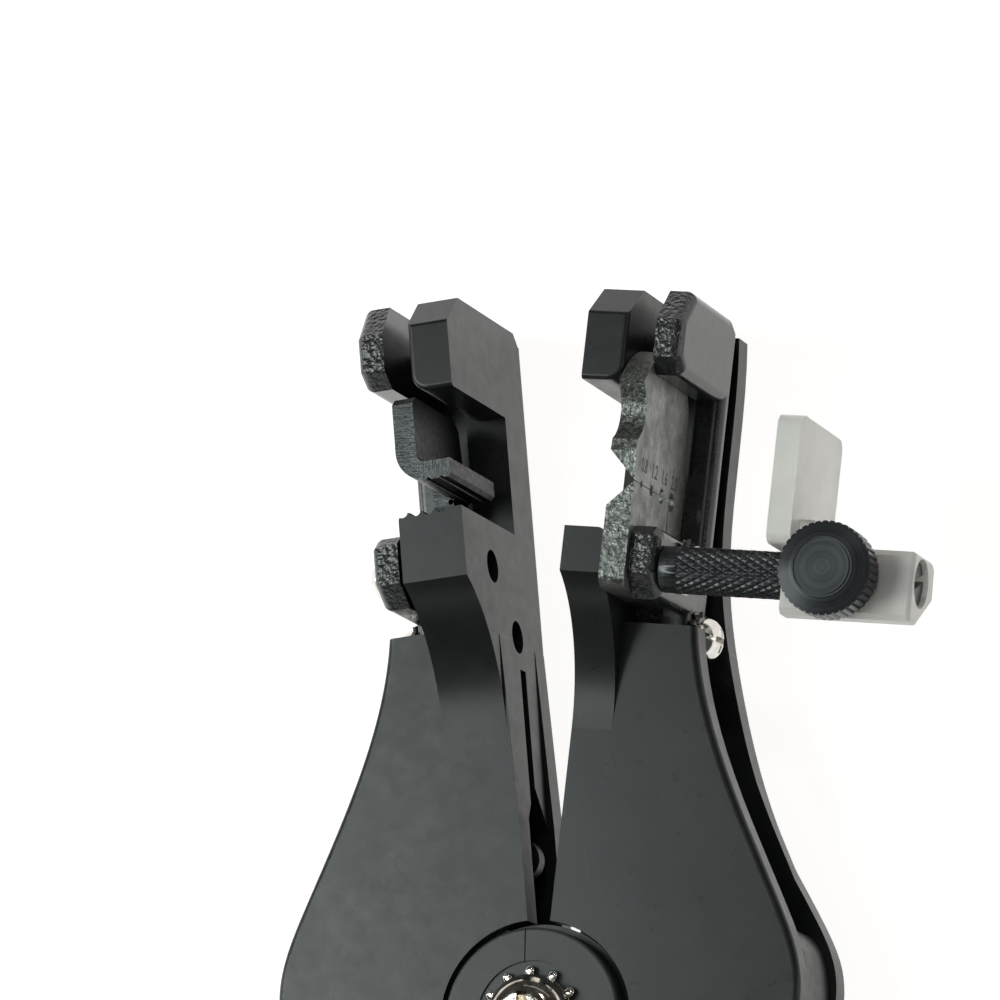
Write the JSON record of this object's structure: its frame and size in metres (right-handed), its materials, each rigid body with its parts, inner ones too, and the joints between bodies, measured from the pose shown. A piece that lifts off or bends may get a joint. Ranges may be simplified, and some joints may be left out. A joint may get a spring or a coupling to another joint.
{
  "type": "wire stripper",
  "caption": "Automatic wire stripper: squeezing the handles closes a gripping and a cutting jaw, then swings the two frames apart.",
  "frame": {"origin": "axis of the hub at the tool's flat rear face", "axes": "+Y towards the jaws, +Z towards the front, +X to the right seen from the front"},
  "size_m": [0.0731, 0.1809, 0.0287],
  "materials": {
    "black_enamel": "satin black enamel on a die casting",
    "rough_casting": "rough cast surface under thin black paint",
    "gripper_steel": "dark hardened steel with a brushed cut edge",
    "blade_steel": "ground tool steel, darkened",
    "chrome": "bright plated",
    "black_oxide": "black oxide steel",
    "milky_plastic": "translucent milky moulded plastic",
    "handle_steel": "pressed sheet steel, dull plated",
    "grip_vinyl": "dipped vinyl, satin",
    "spring_steel": "bare spring wire"
  },
  "bodies": {
    "left_side": {"left_frame": "black_enamel", "left_cheek": "rough_casting", "left_cheek_screws": "chrome", "left_cheek_washers": "chrome", "hub_nut": "black_oxide", "hub_ring": "black_enamel", "hub_washer": "chrome", "hub_screw": "chrome", "left_handle_pin": "handle_steel", "left_jaw_spring": "spring_steel"},
    "right_side": {"right_frame": "black_enamel", "right_cheek": "rough_casting", "lower_blade": "blade_steel", "stop_rod": "black_oxide", "rod_end_screw": "black_oxide", "right_cheek_screws": "chrome", "right_cheek_washers": "chrome", "right_handle_pin": "handle_steel", "right_jaw_spring": "spring_steel"},
    "gripping_jaw": {"left_jaw_lever": "gripper_steel"},
    "cutting_jaw": {"upper_blade": "blade_steel"},
    "left_lever": {"left_handle": "handle_steel", "left_cam": "black_oxide", "left_grip": "grip_vinyl", "left_handle_spring": "spring_steel"},
    "right_lever": {"right_handle": "handle_steel", "right_cam": "black_oxide", "right_grip": "grip_vinyl", "right_handle_spring": "spring_steel"},
    "wire_stop": {"stop_slider": "milky_plastic"},
    "stop_screw": {"clamp_knob": "black_oxide"}
  },
  "joints": [
    {"name": "frame_spread", "type": "hinge", "parent": "left_side", "child": "right_side", "pos_m": [0, 0, 0.0075], "axis": [0, 0, 1], "range_deg": [-4, 12], "stiffness_Nm_per_rad": 0.8, "springref_deg": 12.03},
    {"name": "handle_squeeze", "type": "hinge", "parent": "right_side", "child": "right_lever", "pos_m": [0.01831, -0.00285, 0.0073], "axis": [0, 0, 1], "range_deg": [0, 10], "stiffness_Nm_per_rad": 0.8, "springref_deg": 17.19, "deforming": ["right_handle_spring"]},
    {"name": "left_handle_squeeze", "type": "hinge", "parent": "left_side", "child": "left_lever", "pos_m": [-0.01831, -0.00285, 0.0073], "axis": [0, 0, 1], "range_deg": [-10, 0], "stiffness_Nm_per_rad": 0.8, "springref_deg": -17.19, "deforming": ["left_handle_spring"]},
    {"name": "grip_jaw_pivot", "type": "hinge", "parent": "left_side", "child": "gripping_jaw", "pos_m": [-0.01044, 0.04126, 0.0085], "axis": [0.995, 0.1002, 0], "range_deg": [-8, 0], "stiffness_Nm_per_rad": 0.02, "springref_deg": -11.46, "deforming": ["left_jaw_spring"]},
    {"name": "cut_jaw_pivot", "type": "hinge", "parent": "right_side", "child": "cutting_jaw", "pos_m": [0.01069, 0.04124, 0.0085], "axis": [0.995, -0.1002, 0], "range_deg": [-8, 0], "stiffness_Nm_per_rad": 0.02, "springref_deg": -11.46, "deforming": ["right_jaw_spring"]},
    {"name": "stop_slide", "type": "slide", "parent": "right_side", "child": "wire_stop", "axis": [0.995, -0.1002, 0], "range_m": [-0.008, 0]},
    {"name": "stop_screw_turn", "type": "hinge", "parent": "wire_stop", "child": "stop_screw", "pos_m": [0.035, 0.04412, 0.0265], "axis": [0, 0, 1], "range_deg": [0, 360]}
  ],
  "couplings": [
    {"joint": "left_handle_squeeze", "follows": "handle_squeeze", "ratio": -1},
    {"joint": "grip_jaw_pivot", "follows": "handle_squeeze", "ratio": -0.8},
    {"joint": "cut_jaw_pivot", "follows": "handle_squeeze", "ratio": -0.8}
  ]
}
